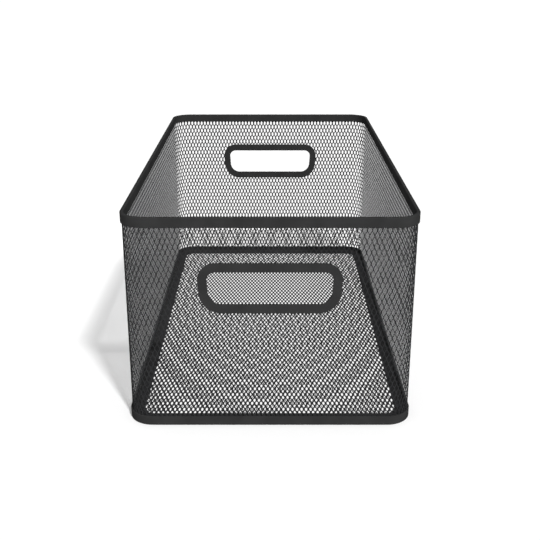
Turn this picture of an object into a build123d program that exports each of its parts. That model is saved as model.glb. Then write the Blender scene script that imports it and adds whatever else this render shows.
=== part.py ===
from build123d import *
import math
import os

# Wire locker basket: a straight-sided bin of expanded steel mesh, with a folded steel rim,
# a folded frame round the foot and a framed hand hole in each short end.
# Millimetres, +Z up. The origin is the centre of the underside, and +Y runs along the
# basket from the front hand hole to the back one.

os.makedirs("parts", exist_ok=True)

# The whole basket, over its outer faces
overall_width = 216.6
overall_depth = 408.0
overall_height = 165.2
corner_radius = 19.0

# Sheet steel that the rim and the base frame are folded from
band_sheet = 1.0
fold_outer_radius = 0.7
edge_rounding = 0.25

# Rim: an upside-down channel pushed over the mesh
rim_leg = 7.8

# Base frame: a channel round the mesh's foot, with a tall outer leg that shows as a plain
# band. Its short inner leg is bent over to a flange that carries the floor.
base_band_height = 7.35
base_flange_top = 3.3
side_flange_reach = 10.4
end_flange_reach = 12.65

# Expanded sheet: the diamonds' short and long pitch, and the width of a strand
mesh_thickness = 0.4
mesh_short_pitch = 3.58
wall_long_pitch = 8.36
floor_long_pitch = 9.86
strand_width = 0.9
floor_edge_width = 2.0

# Each gap in a net stands for this many cells of the real sheet, both ways
mesh_cells_per_gap = 4.2

# Hand hole in each short end, and the frame of two rings round it
hand_hole_width = 92.4
hand_hole_height = 25.0
hand_hole_side_lean = 1.7
hand_hole_top_radius = 6.2
hand_hole_bottom_radius = 10.0
hand_hole_centre_height = 111.45
ring_width = 6.8
ring_sheet = 0.5

# Clearances, and how far a cut runs past what it cuts
mesh_clearance = 0.2
collar_clearance = 0.15
overrun = 2.0

# What follows from the sizes above
wall_inset = band_sheet + mesh_clearance
channel_width = 2 * wall_inset + mesh_thickness
wall_inner_inset = wall_inset + mesh_thickness
wall_bottom = band_sheet + mesh_clearance
wall_top = overall_height - band_sheet - mesh_clearance
net_bottom = base_band_height
net_height = overall_height - rim_leg - net_bottom
gap_cell_width = mesh_short_pitch * mesh_cells_per_gap
net_strand_width = strand_width * mesh_cells_per_gap


def plan_outline(inset, mode=Mode.ADD):
    """The basket seen from above, drawn in from its outer face by an inset."""
    RectangleRounded(
        overall_width - 2 * inset,
        overall_depth - 2 * inset,
        corner_radius - inset,
        mode=mode,
    )


def outward_plane(angle, reach, height=0, axis_x=0, axis_y=0):
    """An upright plane that faces out at an angle from +X, at a reach from an upright axis."""
    outward = Vector(math.cos(math.radians(angle)), math.sin(math.radians(angle)), 0)
    along = Vector(-outward.Y, outward.X, 0)
    return Plane(
        origin=Vector(axis_x, axis_y, height) + outward * reach,
        x_dir=along,
        z_dir=outward,
    )


def gap_count(length, pitch):
    """How many whole gaps of about this pitch fill a length."""
    return max(1, round(length / pitch))


def gap_corners(cell_width, cell_height, kind):
    """The corners of one diamond gap, which leaves half a strand on each side of it."""
    half_width = cell_width / 2
    half_height = cell_height / 2
    edge_distance = half_width * half_height / math.hypot(half_width, half_height)
    gap_share = 1 - net_strand_width / 2 / edge_distance
    left = (-half_width * gap_share, 0)
    right = (half_width * gap_share, 0)
    top = (0, half_height * gap_share)
    bottom = (0, -half_height * gap_share)
    corners = {
        "upper half": (right, top, left),
        "whole": (right, top, left, bottom),
        "lower half": (right, left, bottom),
    }
    return corners[kind]


def staggered_places(columns, rows):
    """Column and row numbers of a net's gaps, every second row shifted by half a gap.
    Half gaps end the net at the bottom row and at the top row."""
    places = {"upper half": [], "whole": [], "lower half": []}
    for row in range(rows + 1):
        kind = {0: "upper half", rows: "lower half"}.get(row, "whole")
        shift = 0.5 if row % 2 == 0 else 0
        last = columns if row % 2 == 0 else columns + 1
        for column in range(last):
            places[kind].append((column + shift, row))
    return places


def net_gaps(length, height, long_pitch):
    """The diamond gaps of a flat net that fills a rectangle, centred."""
    columns = gap_count(length, gap_cell_width)
    rows = gap_count(height, long_pitch * mesh_cells_per_gap / 2)
    column_step = length / columns
    row_step = height / rows
    with BuildSketch() as gaps:
        for kind, places in staggered_places(columns, rows).items():
            centres = []
            for column, row in places:
                centres.append((column * column_step - length / 2, row * row_step - height / 2))
            with Locations(*centres):
                Polygon(*gap_corners(column_step, 2 * row_step, kind), align=None)
    return gaps.sketch


def hand_hole_outline(grow):
    """The hand hole, centred, grown evenly on every side. Its sides lean in toward the bottom."""
    lean_slope = hand_hole_side_lean / hand_hole_height
    lean_stretch = math.hypot(1, lean_slope)
    top = hand_hole_width / 2 + grow * (lean_stretch + lean_slope)
    bottom = hand_hole_width / 2 - hand_hole_side_lean + grow * (lean_stretch - lean_slope)
    reach = hand_hole_height / 2 + grow
    with BuildSketch() as outline:
        Polygon((-bottom, -reach), (bottom, -reach), (top, reach), (-top, reach), align=None)
        corners = outline.vertices().group_by(Axis.Y)
        fillet(corners[-1], hand_hole_top_radius + grow)
        corners = outline.vertices().group_by(Axis.Y)
        fillet(corners[0], hand_hole_bottom_radius + grow)
    return outline.sketch


# Top rim. A slot for the mesh is cut from a rounded band, which leaves a folded channel.
with BuildPart() as top_rim:
    with BuildSketch(Plane.XY.offset(overall_height - rim_leg)):
        plan_outline(0)
        plan_outline(channel_width, Mode.SUBTRACT)
    extrude(amount=rim_leg)
    fillet(top_rim.edges().group_by(Axis.Z)[-1], fold_outer_radius)
    with BuildSketch(Plane.XY.offset(overall_height - band_sheet)):
        plan_outline(band_sheet)
        plan_outline(channel_width - band_sheet, Mode.SUBTRACT)
    extrude(amount=-rim_leg, mode=Mode.SUBTRACT)
    fillet(top_rim.edges().group_by(Axis.Z)[0], edge_rounding)
top_rim.part.label = "top_rim"
export_step(top_rim.part, "parts/top_rim.step")

# Base frame. The channel's slot holds the foot of the mesh, and the flange stands above the
# ground on the channel's inner leg.
with BuildPart() as base_frame:
    with BuildSketch():
        plan_outline(0)
        plan_outline(channel_width, Mode.SUBTRACT)
    extrude(amount=base_flange_top)
    with BuildSketch():
        plan_outline(0)
        plan_outline(band_sheet, Mode.SUBTRACT)
    extrude(amount=base_band_height)
    fillet(base_frame.edges().group_by(Axis.Z)[0], fold_outer_radius)
    with BuildSketch(Plane.XY.offset(base_flange_top)):
        plan_outline(channel_width - band_sheet)
        RectangleRounded(
            overall_width - 2 * side_flange_reach,
            overall_depth - 2 * end_flange_reach,
            corner_radius - side_flange_reach,
            mode=Mode.SUBTRACT,
        )
    extrude(amount=-band_sheet)
    with BuildSketch(Plane.XY.offset(band_sheet)):
        plan_outline(band_sheet)
        plan_outline(channel_width - band_sheet, Mode.SUBTRACT)
    extrude(amount=base_band_height, mode=Mode.SUBTRACT)
    fillet(base_frame.edges().group_by(Axis.Z)[-1], edge_rounding)
base_frame.part.label = "base_frame"
export_step(base_frame.part, "parts/base_frame.step")

# Floor mesh, flat on the flange, with a pressed edge all round
floor_inset = wall_inner_inset + mesh_clearance
floor_net_inset = floor_inset + floor_edge_width
floor_gaps = net_gaps(
    overall_width - 2 * floor_net_inset,
    overall_depth - 2 * floor_net_inset,
    floor_long_pitch,
)
with BuildSketch() as floor_edge:
    plan_outline(floor_inset)
    plan_outline(floor_net_inset, Mode.SUBTRACT)

with BuildPart() as floor_mesh:
    with BuildSketch(Plane.XY.offset(base_flange_top)):
        plan_outline(floor_net_inset)
        add(floor_gaps, clean=False, mode=Mode.SUBTRACT)
        add(floor_edge.sketch)
    extrude(amount=mesh_thickness, clean=False)
floor_mesh.part.label = "floor_mesh"
export_step(floor_mesh.part, "parts/floor_mesh.step")

# Side wall meshes, flat nets between the rounded corners
side_length = overall_depth - 2 * corner_radius
side_reach = overall_width / 2 - wall_inset
side_gaps = net_gaps(side_length, net_height, wall_long_pitch)
for name, angle in (("right_wall_mesh", 0), ("left_wall_mesh", 180)):
    with BuildPart() as side_wall:
        with BuildSketch(outward_plane(angle, side_reach)):
            with Locations((0, (wall_bottom + wall_top) / 2)):
                Rectangle(side_length, wall_top - wall_bottom)
            with Locations((0, net_bottom + net_height / 2)):
                add(side_gaps, clean=False, mode=Mode.SUBTRACT)
        extrude(amount=-mesh_thickness, clean=False)
    side_wall.part.label = name
    export_step(side_wall.part, f"parts/{name}.step")

# Front and back wall meshes. The sheet is pressed solid under the rings of the hand hole.
end_length = overall_width - 2 * corner_radius
end_reach = overall_depth / 2 - wall_inset
end_gap_field = net_gaps(end_length, net_height, wall_long_pitch)
pressed_band = hand_hole_outline(ring_width - mesh_clearance)
mesh_hole = hand_hole_outline(ring_sheet + collar_clearance)
with BuildSketch() as end_gaps:
    with Locations((0, net_bottom + net_height / 2)):
        add(end_gap_field, clean=False)
    with Locations((0, hand_hole_centre_height)):
        add(pressed_band, mode=Mode.SUBTRACT)
        add(mesh_hole)

for name, angle in (("back_wall_mesh", 90), ("front_wall_mesh", 270)):
    with BuildPart() as end_wall:
        with BuildSketch(outward_plane(angle, end_reach)):
            with Locations((0, (wall_bottom + wall_top) / 2)):
                Rectangle(end_length, wall_top - wall_bottom)
            add(end_gaps.sketch, clean=False, mode=Mode.SUBTRACT)
        extrude(amount=-mesh_thickness, clean=False)
    end_wall.part.label = name
    export_step(end_wall.part, f"parts/{name}.step")

# Corner meshes, the same sheet bent to a quarter round. The gaps are cut from the axis out.
corner_outer_radius = corner_radius - wall_inset
corner_inner_radius = corner_outer_radius - mesh_thickness
corner_arc = math.radians(90) * (corner_outer_radius + corner_inner_radius) / 2
corner_columns = gap_count(corner_arc, gap_cell_width)
corner_rows = gap_count(net_height, wall_long_pitch * mesh_cells_per_gap / 2)
corner_row_step = net_height / corner_rows
corner_column_step = corner_arc / corner_columns
corner_axis_x = overall_width / 2 - corner_radius
corner_axis_y = overall_depth / 2 - corner_radius
corner_places = (
    ("back_right_corner_mesh", 0, corner_axis_x, corner_axis_y),
    ("back_left_corner_mesh", 90, -corner_axis_x, corner_axis_y),
    ("front_left_corner_mesh", 180, -corner_axis_x, -corner_axis_y),
    ("front_right_corner_mesh", 270, corner_axis_x, -corner_axis_y),
)
for name, start_angle, axis_x, axis_y in corner_places:
    with BuildPart() as corner_gaps:
        for kind, places in staggered_places(corner_columns, corner_rows).items():
            gap_planes = []
            for column, row in places:
                angle = start_angle + 90 * column / corner_columns
                height = net_bottom + row * corner_row_step
                reach = corner_inner_radius - overrun
                gap_planes.append(outward_plane(angle, reach, height, axis_x, axis_y))
            with BuildSketch(*gap_planes):
                Polygon(*gap_corners(corner_column_step, 2 * corner_row_step, kind), align=None)
            extrude(amount=mesh_thickness + 2 * overrun, clean=False)

    with BuildPart() as corner_mesh:
        with BuildSketch(Plane.XY.offset(wall_bottom)):
            with Locations((axis_x, axis_y)):
                Circle(corner_outer_radius)
                Circle(corner_inner_radius, mode=Mode.SUBTRACT)
            with Locations(Location((axis_x, axis_y), start_angle)):
                Rectangle(corner_radius, corner_radius, align=Align.MIN, mode=Mode.INTERSECT)
        extrude(amount=wall_top - wall_bottom)
        add(corner_gaps.part, clean=False, mode=Mode.SUBTRACT)
    corner_mesh.part.label = name
    export_step(corner_mesh.part, f"parts/{name}.step")

# Hand hole rings. The outer one has a collar through the mesh, and the inner one is
# clinched round the collar's end, so that the sheet is held between them.
hole_edge = hand_hole_outline(0)
ring_edge = hand_hole_outline(ring_width)
collar_outside = hand_hole_outline(ring_sheet)
inner_ring_hole = hand_hole_outline(ring_sheet + collar_clearance)
for end, angle in (("back", 90), ("front", 270)):
    with BuildPart() as outer_ring:
        with BuildSketch(outward_plane(angle, end_reach, hand_hole_centre_height)):
            add(ring_edge)
            add(hole_edge, mode=Mode.SUBTRACT)
        extrude(amount=ring_sheet)
        with BuildSketch(outward_plane(angle, end_reach, hand_hole_centre_height)):
            add(collar_outside)
            add(hole_edge, mode=Mode.SUBTRACT)
        extrude(amount=-mesh_thickness - ring_sheet)
    outer_ring.part.label = f"{end}_outer_ring"
    export_step(outer_ring.part, f"parts/{end}_outer_ring.step")

    with BuildPart() as inner_ring:
        inner_face = outward_plane(angle, end_reach - mesh_thickness, hand_hole_centre_height)
        with BuildSketch(inner_face):
            add(ring_edge)
            add(inner_ring_hole, mode=Mode.SUBTRACT)
        extrude(amount=-ring_sheet)
    inner_ring.part.label = f"{end}_inner_ring"
    export_step(inner_ring.part, f"parts/{end}_inner_ring.step")
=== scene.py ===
import math

import bpy
import numpy as np
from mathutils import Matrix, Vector


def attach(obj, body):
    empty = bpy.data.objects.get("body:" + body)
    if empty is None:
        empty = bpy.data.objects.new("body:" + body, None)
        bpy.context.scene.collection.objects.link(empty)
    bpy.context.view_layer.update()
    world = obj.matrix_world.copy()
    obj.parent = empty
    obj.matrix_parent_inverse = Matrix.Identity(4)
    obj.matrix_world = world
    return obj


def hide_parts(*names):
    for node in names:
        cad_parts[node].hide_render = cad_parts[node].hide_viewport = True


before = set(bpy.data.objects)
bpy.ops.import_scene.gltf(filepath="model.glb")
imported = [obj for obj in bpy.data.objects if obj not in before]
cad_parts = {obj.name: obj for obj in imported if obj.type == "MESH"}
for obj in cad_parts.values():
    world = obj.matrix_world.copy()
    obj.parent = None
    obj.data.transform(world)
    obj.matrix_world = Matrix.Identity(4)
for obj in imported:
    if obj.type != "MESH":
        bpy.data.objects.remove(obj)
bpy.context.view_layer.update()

# The camera stands in front of one short end and looks down into the open basket.
# Its place and lens come from where the rim, the base and the floor meet their vanishing lines.
camera_place = (0.0, -0.7935, 0.3419)
camera_tilt = math.radians(69.90)
camera_lens = 58.55
camera_sensor = 36.0
camera_data = bpy.data.cameras.new("photo_camera")
camera_data.lens = camera_lens
camera_data.sensor_width = camera_sensor
photo_camera = bpy.data.objects.new("photo_camera", camera_data)
photo_camera.location = camera_place
photo_camera.rotation_euler = (camera_tilt, 0.0, 0.0)
bpy.context.scene.collection.objects.link(photo_camera)
bpy.context.scene.camera = photo_camera


# Base frame: steel strip folded to a channel and bent round the foot, powder coated black.
# The wall mesh stands in the channel, and the floor mesh is welded down on its flange.
mm = 0.001
sheet_black_dark = (0.0298, 0.0299, 0.0301, 1.0)
sheet_black_light = (0.0357, 0.0358, 0.0360, 1.0)
sheet_gloss = 0.0
sheet_roughness = (0.45, 0.55)
sheet_grain_depth = 0.01 * mm
film_scale = 70.0
film_detail = 3.0
film_tone_span = (0.35, 0.65)
film_gloss_span = (0.3, 0.7)
grain_scale = 1500.0
grain_detail = 2.0
grain_strength = 0.5


def emptied_tree(owner):
    """The node tree of a material or of the world, with nothing in it."""
    owner.use_nodes = True
    owner.node_tree.nodes.clear()
    return owner.node_tree


def noise_level(tree, place, scale, detail):
    """A soft random level over the surface, which stays with the object."""
    texture = tree.nodes.new("ShaderNodeTexNoise")
    texture.inputs["Scale"].default_value = scale
    texture.inputs["Detail"].default_value = detail
    tree.links.new(place.outputs["Object"], texture.inputs["Vector"])
    return texture.outputs["Fac"]


def carried_over(tree, value, from_span, to_span, kind):
    """A value carried over from one span of numbers to another, and held at its ends."""
    change = tree.nodes.new("ShaderNodeMapRange")
    change.interpolation_type = kind
    for socket_name, level in zip(("From Min", "From Max", "To Min", "To Max"), from_span + to_span):
        change.inputs[socket_name].default_value = level
    tree.links.new(value, change.inputs["Value"])
    return change.outputs["Result"]


def powder_coat(name, dark, light, gloss_level, roughness_span, grain_depth):
    """Baked powder coat: a fine grain, and a film that is a little uneven in tone and gloss."""
    coat = bpy.data.materials.new(name)
    tree = emptied_tree(coat)
    output = tree.nodes.new("ShaderNodeOutputMaterial")
    paint = tree.nodes.new("ShaderNodeBsdfPrincipled")
    place = tree.nodes.new("ShaderNodeTexCoord")
    paint.inputs["Specular IOR Level"].default_value = gloss_level
    tree.links.new(paint.outputs["BSDF"], output.inputs["Surface"])

    film = noise_level(tree, place, film_scale, film_detail)
    tone = tree.nodes.new("ShaderNodeValToRGB")
    for stop, position, colour in zip(tone.color_ramp.elements, film_tone_span, (dark, light)):
        stop.position = position
        stop.color = colour
    tree.links.new(film, tone.inputs["Fac"])
    tree.links.new(tone.outputs["Color"], paint.inputs["Base Color"])
    roughness = carried_over(tree, film, film_gloss_span, roughness_span, "LINEAR")
    tree.links.new(roughness, paint.inputs["Roughness"])

    relief = tree.nodes.new("ShaderNodeBump")
    relief.inputs["Strength"].default_value = grain_strength
    relief.inputs["Distance"].default_value = grain_depth
    tree.links.new(noise_level(tree, place, grain_scale, grain_detail), relief.inputs["Height"])
    tree.links.new(relief.outputs["Normal"], paint.inputs["Normal"])
    return coat


def coat_packed_node(node_name, coat):
    """Gives a CAD node that stays in view its coat."""
    for material_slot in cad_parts[node_name].material_slots:
        material_slot.material = coat


sheet_coat = powder_coat(
    "powder_coat_sheet", sheet_black_dark, sheet_black_light, sheet_gloss, sheet_roughness, sheet_grain_depth
)
coat_packed_node("base_frame", sheet_coat)


# Floor mesh: expanded steel sheet with the long way of its gaps along the basket.
# It lies on the base flange and is welded to it, and the coat rounds its strands a little.
# Its gaps are widest along a slanting line near its middle, and smaller toward the long edges.
mesh_black_dark = (0.0290, 0.0295, 0.0308, 1.0)
mesh_black_light = (0.0360, 0.0367, 0.0382, 1.0)
mesh_gloss = 0.0
mesh_roughness = (0.45, 0.55)
mesh_grain_depth = 0.008 * mm
mesh_coat = powder_coat(
    "powder_coat_mesh", mesh_black_dark, mesh_black_light, mesh_gloss, mesh_roughness, mesh_grain_depth
)

# All sizes of the sheets are in millimetres. A row's step is half of a gap's own pitch,
# and a bond is the short length where two strands run side by side.
overall_width = 216.6
overall_depth = 408.0
plan_corner_radius = 19.0
sheet_thickness = 0.31
crown_share = 0.5
crown_height_share = 0.8
bake_margin = 0.01
bake_span = 0.98
bake_half_span = 0.47
floor_column = 3.528
floor_row = 9.737 / 2
floor_bond_half = 0.60
floor_gap_reach = 0.825
floor_gap_shoulder = 1.35
floor_gap_tip = 2.58
floor_last_column = 30
floor_last_row = 42
floor_row_shift = -0.85
floor_height = 3.5
floor_edge_inset = 1.8
floor_cell_reach = 0.88
floor_widest_x = 3.0
floor_widest_shift = 27.0
floor_open_most = 1.000
floor_open_fall = 0.088
floor_open_forward = 0.037


def strand_ring(column_step, row_step, bond_half):
    """The six corners of the strands' middle lines round a gap, seen from its middle."""
    return np.array(
        [
            (column_step / 2, -bond_half),
            (column_step / 2, bond_half),
            (0, row_step - bond_half),
            (-column_step / 2, bond_half),
            (-column_step / 2, -bond_half),
            (0, bond_half - row_step),
        ]
    )


def expanded_sheet(name, cells, size, place, coat, plain_back=False, open_shares=1.0):
    """One piece of expanded sheet. Each cell is a gap with half of the strands round it:
    a six-sided ring along the strands' middle lines, one near the edge, and one round the gap.
    cells is (column, row) of each gap, and place gives the point for columns, rows and depth."""
    column_step, row_step, bond_half, reach, shoulder, tip = size
    # Neighbouring gaps share their rings' corners, which are told apart by whole half steps.
    doubled = np.round(cells * 2).astype(int)
    columns, rows = doubled[:, 0], doubled[:, 1] // 2
    along_ring = np.array([1, 1, 0, -1, -1, 0])
    up_ring = np.array([-1, 1, 1, 1, -1, -1])
    keys = np.stack([columns[:, None] + along_ring, 2 * rows[:, None] + up_ring], axis=2)
    joints, ring_index = np.unique(keys.reshape(-1, 2), axis=0, return_inverse=True)
    ring_index = ring_index.reshape(keys.shape[:2])
    joint_count = len(joints)

    middle_offsets = strand_ring(column_step, row_step, bond_half)
    gap_offsets = np.array(
        [(reach, -shoulder), (reach, shoulder), (0, tip), (-reach, shoulder), (-reach, -shoulder), (0, -tip)]
    )
    gap_offsets = gap_offsets * np.reshape(open_shares, (-1, 1, 1))
    near_offsets = gap_offsets + (middle_offsets - gap_offsets) * crown_share
    centres = np.stack([columns / 2 * column_step, rows * row_step], axis=1)
    joint_points = np.zeros((joint_count, 2))
    joint_points[ring_index.ravel()] = (centres[:, None, :] + middle_offsets).reshape(-1, 2)
    near_points = (centres[:, None, :] + near_offsets).reshape(-1, 2)
    gap_points = (centres[:, None, :] + gap_offsets).reshape(-1, 2)

    half = sheet_thickness / 2
    shoulder_height = half * crown_height_share
    flat = [joint_points, near_points, gap_points, joint_points]
    depth = [half, shoulder_height, 0.0, -half]
    if not plain_back:
        flat.append(near_points)
        depth.append(-shoulder_height)
    sheet_points = np.concatenate(flat)
    depths = np.concatenate([np.full(len(points), level) for points, level in zip(flat, depth)])
    points = place(sheet_points[:, 0], sheet_points[:, 1], depths)

    ring_points = len(near_points)
    to_back = joint_count + 2 * ring_points
    near = joint_count + np.arange(ring_points).reshape(ring_index.shape)
    gap = near + ring_points
    back = ring_index + to_back

    def band(outer, inner):
        """Four-sided faces between two rings."""
        return np.stack([outer, np.roll(outer, -1, 1), np.roll(inner, -1, 1), inner], axis=2).reshape(-1, 4)

    front_faces = np.concatenate([band(ring_index, near), band(near, gap)])
    if plain_back:
        back_faces = band(back, gap)[:, ::-1]
    else:
        back_faces = np.concatenate([band(back, near + to_back), band(near + to_back, gap)])[:, ::-1]
    edge_from = ring_index.ravel()
    edge_to = np.roll(ring_index, -1, 1).ravel()
    edge_key = np.minimum(edge_from, edge_to) * joint_count + np.maximum(edge_from, edge_to)
    first, uses = np.unique(edge_key, return_index=True, return_counts=True)[1:]
    cut_from = edge_from[first[uses == 1]]
    cut_to = edge_to[first[uses == 1]]
    cut_faces = np.stack([cut_from, cut_from + to_back, cut_to + to_back, cut_to], axis=1)
    faces = np.concatenate([front_faces, back_faces, cut_faces])

    mesh = bpy.data.meshes.new(name)
    mesh.vertices.add(len(points))
    mesh.vertices.foreach_set("co", (points * mm).astype(np.float32).ravel())
    mesh.loops.add(faces.size)
    mesh.loops.foreach_set("vertex_index", faces.astype(np.int32).ravel())
    mesh.polygons.add(len(faces))
    mesh.polygons.foreach_set("loop_start", np.arange(0, faces.size, 4, dtype=np.int32))
    mesh.polygons.foreach_set("use_smooth", np.ones(len(faces), dtype=bool))

    # The bake map lays the sheet's front in one half of the picture and its back in the other.
    low, high = sheet_points.min(0), sheet_points.max(0)
    share = ((sheet_points - low) / (high - low))[faces]
    sides = np.zeros(len(faces), int)
    sides[len(front_faces):] = 1
    stacked = 0 if high[0] - low[0] < high[1] - low[1] else 1
    flat_map = bake_margin + bake_span * share
    flat_map[:, :, stacked] = bake_margin + bake_half_span * share[:, :, stacked] + 0.5 * sides[:, None]
    bake_map = mesh.uv_layers.new(name="OFBake")
    bake_map.data.foreach_set("uv", flat_map.astype(np.float32).ravel())
    mesh.update(calc_edges=True)
    mesh.validate()
    mesh.materials.append(coat)
    piece = bpy.data.objects.new(name, mesh)
    bpy.context.scene.collection.objects.link(piece)
    return piece


def floor_place(across, along, depth):
    """Columns run across the basket and rows along it."""
    return np.stack([across, along + floor_row_shift, depth + floor_height], axis=1)


def staggered_cells(first_column, last_column, first_row, last_row):
    """Every gap of the sheet in a range. Each second row is shifted by half a column."""
    cells = []
    for row in range(first_row, last_row + 1):
        shift = 0.5 * (row % 2)
        first = math.ceil(first_column - shift)
        last = math.floor(last_column - shift)
        cells.extend((column + shift, row) for column in range(first, last + 1))
    return np.array(cells, float)


def inside_plan(x, y, inset):
    """True where a point lies within the basket's plan, drawn in by an inset."""
    radius = plan_corner_radius - inset
    past_x = np.maximum(np.abs(x) - (overall_width / 2 - plan_corner_radius), 0)
    past_y = np.maximum(np.abs(y) - (overall_depth / 2 - plan_corner_radius), 0)
    return np.hypot(past_x, past_y) <= radius


floor_size = (floor_column, floor_row, floor_bond_half, floor_gap_reach, floor_gap_shoulder, floor_gap_tip)
floor_cells = staggered_cells(-floor_last_column, floor_last_column, -floor_last_row, floor_last_row)
cell_corners = np.array([(0.5, 1), (0.5, -1), (-0.5, 1), (-0.5, -1)])
floor_x = (floor_cells[:, None, 0] + cell_corners[:, 0]) * floor_column
floor_y = (floor_cells[:, None, 1] + cell_corners[:, 1] * floor_cell_reach) * floor_row + floor_row_shift
floor_cells = floor_cells[inside_plan(floor_x, floor_y, floor_edge_inset).all(1)]
floor_forward = -floor_cells[:, 1] * floor_row / (overall_depth / 2)
floor_widest = floor_widest_x + floor_widest_shift * floor_forward
floor_off_widest = (floor_cells[:, 0] * floor_column - floor_widest) / (overall_width / 2)
floor_open_shares = floor_open_most - floor_open_fall * floor_off_widest**2
floor_open_shares += floor_open_forward * floor_forward
floor_sheet = expanded_sheet(
    "expanded_floor",
    floor_cells,
    floor_size,
    floor_place,
    mesh_coat,
    plain_back=True,
    open_shares=floor_open_shares,
)
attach(floor_sheet, "root")
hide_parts("floor_mesh")


# Walls: expanded steel sheet with the long way of its gaps upright, wrapped round the foot
# and bent at the four corners. Its top edge is gripped in the rim and its foot in the base.
# The long sides have a glossier coat than the ends, so that they look an even dark grey.
wall_black_dark = (0.0190, 0.0196, 0.0210, 1.0)
wall_black_light = (0.0250, 0.0257, 0.0274, 1.0)
wall_gloss = 0.5
wall_roughness = (0.30, 0.38)
wall_grain_depth = 0.008 * mm
wall_coat = powder_coat(
    "powder_coat_walls", wall_black_dark, wall_black_light, wall_gloss, wall_roughness, wall_grain_depth
)

# The gaps of the back and its two bends are about a quarter narrower and a fifth shorter
# than those of the sides, and the gaps of the front are a touch bigger.
wall_column = 3.583
wall_row = 8.363 / 2
wall_bond_half = 0.52
wall_gap_reach = 1.38
wall_gap_shoulder = 0.68
wall_gap_tip = 3.08
back_gap_reach = 1.05
back_gap_shoulder = 0.98
back_gap_tip = 2.42
front_gap_reach = 1.41
front_gap_shoulder = 0.70
front_gap_tip = 3.14
wall_first_column = 24
wall_last_column = 363
wall_first_row = 1
wall_last_row = 38

# The wrap is measured along the middle of the sheet, anticlockwise from the middle of the front.
# Columns of gaps are counted the same way. The front's and the back's are each set by
# themselves, and the bends and the long sides take up the small rest.
wall_middle_radius = 17.6
flat_end = overall_width - 2 * plan_corner_radius
flat_side = overall_depth - 2 * plan_corner_radius
quarter_turn = math.radians(90)
bend = quarter_turn * wall_middle_radius
perimeter = 2 * flat_end + 2 * flat_side + 4 * bend
back_middle = perimeter / 2
columns_round = 337
front_column_phase = 0.637
back_column = 168
back_column_run = back_middle - 2.897
front_lift = 0.77
back_lift = 0.54

# Strands are thicker toward the front of the long sides and inside the four bends, thinner
# toward the back of the long sides, and as thick as the sheet on the flat ends.
side_depth_places = (-overall_depth / 2, overall_depth / 4, overall_depth / 2)
side_depth_shares = (1.49, 0.994, 0.862)
side_low_share = 0.12
side_high_share = 0.10
side_middle_height = 75.0
side_balance = 0.025
left_bend_shares = (0.2, 2.7)
right_bend_shares = (0.7, 2.6)


def run_to_front_column(run):
    """The column at a length from the middle of the front, counted by the front's gaps."""
    return (run - front_column_phase) / wall_column


def run_to_back_column(run):
    """The column at a length from the middle of the front, counted by the back's gaps."""
    return back_column + (run - back_column_run) / wall_column


run_marks = np.array(
    [
        flat_end / 2,
        back_middle - flat_end / 2,
        back_middle + flat_end / 2,
        perimeter - flat_end / 2,
        perimeter + flat_end / 2,
    ]
)
column_marks = np.array(
    [
        run_to_front_column(run_marks[0]),
        run_to_back_column(run_marks[1]),
        run_to_back_column(run_marks[2]),
        columns_round + run_to_front_column(run_marks[3] - perimeter),
        columns_round + run_to_front_column(run_marks[4] - perimeter),
    ]
)
lift_marks = np.array([front_lift, back_lift, back_lift, front_lift, front_lift])


def strand_depth(x, y, up, turned, depth):
    """How far a strand stands out, by its place along the long sides, up them, and in the bends."""
    forward = 0.5 - y / overall_depth
    rise = (up - side_middle_height) / side_middle_height
    beside = np.clip((np.abs(x) - flat_end / 2) / wall_middle_radius, 0, 1)
    side_share = np.interp(y, side_depth_places, side_depth_shares)
    rise_share = np.where(rise < 0, side_low_share * forward, side_high_share * forward**3)
    side_share = side_share * (1 - side_balance * np.sign(x) + rise_share * rise)
    bent = np.sin(math.pi * np.mod(turned, 1))
    front_bend, back_bend = np.where(x < 0, np.array([left_bend_shares]).T, np.array([right_bend_shares]).T)
    bend_share = 1 + bent * (forward * front_bend + (1 - forward) * back_bend)
    return depth * (1 + beside * (side_share - 1)) * bend_share


def wall_place(along, up, depth):
    """Follows the wrap round the basket, anticlockwise from the middle of the front."""
    column = along / wall_column
    run = np.interp(column, column_marks, run_marks)
    run = run + np.where(column < column_marks[0], (column - column_marks[0]) * wall_column, 0)
    run = run + np.where(column > column_marks[-1], (column - column_marks[-1]) * wall_column, 0)
    lift = np.interp(column, column_marks, lift_marks)
    run = np.mod(run, perimeter)
    starts = np.cumsum([flat_end / 2, bend, flat_side, bend, flat_end, bend, flat_side, bend])
    turned = np.zeros(len(run))
    for start in starts[0::2]:
        turned += np.clip((run - start) / bend, 0, 1)
    front_right = np.clip(run, 0, flat_end / 2)
    right = np.clip(run - starts[1], 0, flat_side)
    back = np.clip(run - starts[3], 0, flat_end)
    left = np.clip(run - starts[5], 0, flat_side)
    front_left = np.clip(run - starts[7], 0, flat_end / 2)
    angle = quarter_turn * (turned - 1)
    x = front_right - back + front_left + wall_middle_radius * np.cos(angle)
    y = right - left - flat_side / 2 + wall_middle_radius * np.sin(angle)
    outward = strand_depth(x, y, up, turned, depth)
    return np.stack([x + outward * np.cos(angle), y + outward * np.sin(angle), up + lift], axis=1)


# The hand holes are cut through the ends. Each gap that lies wholly in a hole or under its
# rings is left out, so that the mesh ends under the rings and none of it shows in the hole.
hole_half_width = 45.35
hole_half_height = 12.5
hole_side_lean = 1.7
hole_top_radius = 6.2
hole_bottom_radius = 10.0
hole_height = 111.45
ring_cover = 7.3


def inside_hole(x, z, grow):
    """True where a point of an end wall lies within the hand hole, grown by a border."""
    radius = np.where(z > hole_height, hole_top_radius, hole_bottom_radius) + grow
    half_width = hole_half_width + hole_side_lean * (z - hole_height) / (2 * hole_half_height)
    past_x = np.maximum(np.abs(x) - (half_width + grow - radius), 0)
    past_z = np.maximum(np.abs(z - hole_height) - (hole_half_height + grow - radius), 0)
    return np.hypot(past_x, past_z) <= radius


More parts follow.
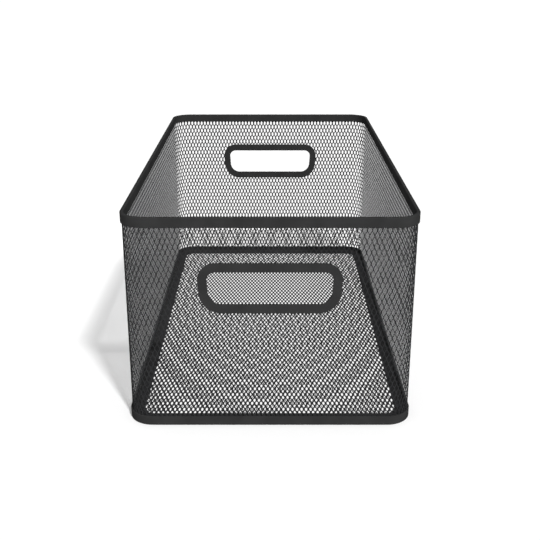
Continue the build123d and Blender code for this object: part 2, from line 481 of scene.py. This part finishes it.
def under_ring(cells, middle_run, lift):
    """The gaps that the hand hole and its rings hide from edge to edge."""
    corners = strand_ring(1, wall_row, wall_bond_half)
    column = cells[:, None, 0] + corners[:, 0]
    x = np.interp(column, column_marks, run_marks) - middle_run
    z = cells[:, None, 1] * wall_row + corners[:, 1] + lift
    return inside_hole(x, z, ring_cover).all(1)


wall_pitch = (wall_column, wall_row, wall_bond_half)
side_size = wall_pitch + (wall_gap_reach, wall_gap_shoulder, wall_gap_tip)
back_size = wall_pitch + (back_gap_reach, back_gap_shoulder, back_gap_tip)
front_size = wall_pitch + (front_gap_reach, front_gap_shoulder, front_gap_tip)
wall_spans = (
    ("front_right_corner_mesh", flat_end / 2, bend, side_size, mesh_coat),
    ("right_wall_mesh", flat_end / 2 + bend, flat_side, side_size, wall_coat),
    ("back_right_corner_mesh", back_middle - flat_end / 2 - bend, bend, back_size, mesh_coat),
    ("back_wall_mesh", back_middle - flat_end / 2, flat_end, back_size, mesh_coat),
    ("back_left_corner_mesh", back_middle + flat_end / 2, bend, back_size, mesh_coat),
    ("left_wall_mesh", back_middle + flat_end / 2 + bend, flat_side, side_size, wall_coat),
    ("front_left_corner_mesh", perimeter - flat_end / 2 - bend, bend, side_size, mesh_coat),
    ("front_wall_mesh", perimeter - flat_end / 2, flat_end, front_size, mesh_coat),
)
hand_holes = {"back_wall_mesh": (back_middle, back_lift), "front_wall_mesh": (perimeter, front_lift)}
wall_cells = staggered_cells(wall_first_column, wall_last_column, wall_first_row, wall_last_row)
in_wrap = (wall_cells[:, 0] >= column_marks[0]) & (wall_cells[:, 0] < column_marks[-1])
wall_cells = wall_cells[in_wrap]
wall_runs = np.interp(wall_cells[:, 0], column_marks, run_marks)
for node_name, start, length, gap_size, coat in wall_spans:
    span_cells = wall_cells[(wall_runs >= start) & (wall_runs < start + length)]
    if node_name in hand_holes:
        span_cells = span_cells[~under_ring(span_cells, *hand_holes[node_name])]
    sheet_name = "expanded_" + node_name.removesuffix("_mesh")
    wall_sheet = expanded_sheet(sheet_name, span_cells, gap_size, wall_place, coat)
    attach(wall_sheet, "root")
    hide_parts(node_name)


# Hand hole rings: two flat steel plates on each short end, one outside and one inside the mesh.
# The outer one's collar passes through the mesh, and the inner one is clinched round it.
for node_name in ("back_outer_ring", "back_inner_ring", "front_outer_ring", "front_inner_ring"):
    coat_packed_node(node_name, sheet_coat)


# Top rim: steel strip folded to an upside-down channel and pushed over the mesh's top edge.
# It has the same coat as the base, and hides the cut edge of the mesh all round.
coat_packed_node("top_rim", sheet_coat)


# Studio floor: wide and matt white, it keeps the basket's soft shadow. The camera sees it
# a little lighter than it is. In a strip of shade behind the basket, on the left of a slanting
# line, it glows lighter still: painted light that makes the basket's shadow there fainter.
ground_reach = 40.0
ground_drop = 0.0001
white_albedo = 0.80
ground_lift = 0.19
behind_painted_light = 0.18
behind_middle = 0.27
behind_near = 0.05
behind_far = 0.11
behind_slant = 0.452
behind_line = 0.205
behind_line_softness = 0.02


def worked_out(tree, operation, *terms):
    """A sum on numbers and on other nodes' results."""
    node = tree.nodes.new("ShaderNodeMath")
    node.operation = operation
    for socket, term in zip(node.inputs, terms):
        if isinstance(term, float):
            socket.default_value = term
        else:
            tree.links.new(term, socket)
    return node.outputs[0]


def seen_directly(tree):
    """1 for what the camera, a gloss or glass sees, and 0 for what lights the object."""
    path = tree.nodes.new("ShaderNodeLightPath").outputs
    camera_or_gloss = worked_out(tree, "MAXIMUM", path["Is Camera Ray"], path["Is Glossy Ray"])
    return worked_out(tree, "MAXIMUM", camera_or_gloss, path["Is Transmission Ray"])


def matt_white(tree):
    """Plain matt white paint."""
    matt = tree.nodes.new("ShaderNodeBsdfDiffuse")
    matt.inputs["Color"].default_value = (white_albedo, white_albedo, white_albedo, 1.0)
    return matt.outputs[0]


def studio_plate(name, corners, paint):
    """A flat plate of the studio, with its face upward."""
    plate_mesh = bpy.data.meshes.new(name)
    plate_mesh.from_pydata(corners, [], [tuple(range(len(corners)))])
    plate_mesh.materials.append(paint)
    plate = bpy.data.objects.new(name, plate_mesh)
    bpy.context.scene.collection.objects.link(plate)


ground_paint = bpy.data.materials.new("studio_floor_white")
ground_tree = emptied_tree(ground_paint)
ground_coordinates = ground_tree.nodes.new("ShaderNodeTexCoord")
ground_axes = ground_tree.nodes.new("ShaderNodeSeparateXYZ")
ground_tree.links.new(ground_coordinates.outputs["Object"], ground_axes.inputs["Vector"])
# Painted light: the floor glows brighter in the strip of shade behind the basket, so its shadow there is
# fainter.
ground_past_middle = worked_out(ground_tree, "SUBTRACT", ground_axes.outputs["Y"], behind_middle)
ground_off_middle = worked_out(ground_tree, "ABSOLUTE", ground_past_middle)
ground_painted_light_behind = carried_over(
    ground_tree, ground_off_middle, (behind_near, behind_far), (behind_painted_light, 0.0), "SMOOTHSTEP"
)
ground_across = worked_out(
    ground_tree, "MULTIPLY_ADD", ground_axes.outputs["Y"], behind_slant, ground_axes.outputs["X"]
)
ground_shaded = carried_over(
    ground_tree, ground_across, (behind_line - behind_line_softness, behind_line), (1.0, 0.0), "SMOOTHSTEP"
)
ground_lift_and_painted_light = worked_out(ground_tree, "MULTIPLY_ADD", ground_painted_light_behind, ground_shaded, ground_lift)
ground_glow = ground_tree.nodes.new("ShaderNodeEmission")
ground_glow_level = worked_out(ground_tree, "MULTIPLY", seen_directly(ground_tree), ground_lift_and_painted_light)
ground_tree.links.new(ground_glow_level, ground_glow.inputs["Strength"])
ground_sum = ground_tree.nodes.new("ShaderNodeAddShader")
ground_tree.links.new(matt_white(ground_tree), ground_sum.inputs[0])
ground_tree.links.new(ground_glow.outputs[0], ground_sum.inputs[1])
ground_output = ground_tree.nodes.new("ShaderNodeOutputMaterial")
ground_tree.links.new(ground_sum.outputs[0], ground_output.inputs["Surface"])
ground_corners = [
    (-ground_reach, -ground_reach, -ground_drop),
    (ground_reach, -ground_reach, -ground_drop),
    (ground_reach, ground_reach, -ground_drop),
    (-ground_reach, ground_reach, -ground_drop),
]
studio_plate("studio_floor", ground_corners, ground_paint)


# A white card with cut corners lies just under the basket, inside its foot. The camera sees it
# glow plain white in the gaps of the floor: painted light where the basket's shadow falls.
# It lights nothing, and casts no shadow outside the foot.
card_drop = 0.00005
card_inset = 2.0
card_painted_light = 1.0
card_half_x = (overall_width / 2 - card_inset) * mm
card_half_y = (overall_depth / 2 - card_inset) * mm
card_cut = plan_corner_radius * mm


def shown_or_lighting(tree, lighting, shown, output):
    """One look for what lights the basket, and another for what the camera sees directly."""
    choice = tree.nodes.new("ShaderNodeMixShader")
    tree.links.new(seen_directly(tree), choice.inputs["Fac"])
    tree.links.new(lighting, choice.inputs[1])
    tree.links.new(shown, choice.inputs[2])
    tree.links.new(choice.outputs[0], output.inputs["Surface"])


card_paint = bpy.data.materials.new("under_card_painted_light")
card_tree = emptied_tree(card_paint)
# Painted light: the camera sees the card glow plain white where the basket's shadow would fall.
card_seen = card_tree.nodes.new("ShaderNodeEmission")
card_seen.inputs["Strength"].default_value = card_painted_light
card_output = card_tree.nodes.new("ShaderNodeOutputMaterial")
shown_or_lighting(card_tree, matt_white(card_tree), card_seen.outputs[0], card_output)
card_outline = (
    (card_cut - card_half_x, -card_half_y),
    (card_half_x - card_cut, -card_half_y),
    (card_half_x, card_cut - card_half_y),
    (card_half_x, card_half_y - card_cut),
    (card_half_x - card_cut, card_half_y),
    (card_cut - card_half_x, card_half_y),
    (-card_half_x, card_half_y - card_cut),
    (-card_half_x, card_cut - card_half_y),
)
studio_plate("under_card", [(x, y, -card_drop) for x, y in card_outline], card_paint)


# Studio light: plain white shows all round, and lights the basket softly from every side.
# One key lamp stands at the right, in front and above, and its shadows have soft edges.
sky_light = 0.40
sky_shown = 1.0
plain_white = (1.0, 1.0, 1.0, 1.0)
key_strength = 2.96
key_angle = math.radians(5.0)
key_direction = Vector((0.268, -0.592, 0.70))
studio_world = bpy.data.worlds.new("studio_white")
bpy.context.scene.world = studio_world
world_tree = emptied_tree(studio_world)
world_lighting = world_tree.nodes.new("ShaderNodeBackground")
world_lighting.inputs["Color"].default_value = plain_white
world_lighting.inputs["Strength"].default_value = sky_light
world_shown = world_tree.nodes.new("ShaderNodeBackground")
world_shown.inputs["Color"].default_value = plain_white
world_shown.inputs["Strength"].default_value = sky_shown
world_output = world_tree.nodes.new("ShaderNodeOutputWorld")
shown_or_lighting(world_tree, world_lighting.outputs[0], world_shown.outputs[0], world_output)

key_data = bpy.data.lights.new("key_lamp", "SUN")
key_data.energy = key_strength
key_data.angle = key_angle
key_lamp = bpy.data.objects.new("key_lamp", key_data)
key_lamp.rotation_euler = key_direction.to_track_quat("Z", "Y").to_euler()
bpy.context.scene.collection.objects.link(key_lamp)

bpy.context.scene.view_settings.view_transform = "Standard"
